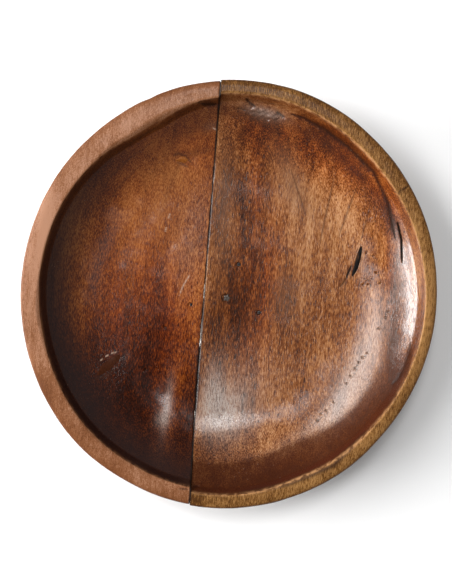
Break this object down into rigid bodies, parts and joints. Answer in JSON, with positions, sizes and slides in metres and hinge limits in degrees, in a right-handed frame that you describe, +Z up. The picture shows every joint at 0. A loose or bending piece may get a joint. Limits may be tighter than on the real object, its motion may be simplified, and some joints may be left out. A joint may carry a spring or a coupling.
{
  "type": "carved wooden bowl",
  "caption": "Shallow round carved wooden bowl of two boards glued edge to edge, with a flat rim, a steep carved wall, a broad dished floor and a flat foot.",
  "frame": {"origin": "middle of the oval bowl, on the surface that the foot rests on", "axes": "+Z up out of the hollow; the grain and the glued seam run along Y, the rim's long axis; +X points to the wider board"},
  "size_m": [0.2912, 0.3, 0.052],
  "materials": {
    "left_wood": "red-brown, smooth, gloss lacquer",
    "right_wood": "golden brown, open grain, gloss lacquer",
    "glue": "dark glue line",
    "filler": "dark wood filler",
    "knot_wood": "black dead knot",
    "lacquer": "amber lacquer drop",
    "dried_glue": "clear dried glue"
  },
  "bodies": {
    "root": {"left_half": "left_wood", "right_half": "right_wood", "glue_line": "glue", "centre_plug": "filler", "screw_plug_upper": "filler", "screw_plug_right": "filler", "screw_plug_left": "filler", "knot": "knot_wood", "knot_streak": "knot_wood", "wall_crack_fill": "filler", "lacquer_run": "lacquer", "lacquer_drip": "lacquer", "glue_bead_upper": "dried_glue", "glue_bead_middle": "dried_glue", "glue_bead_lower": "dried_glue"}
  },
  "joints": []
}
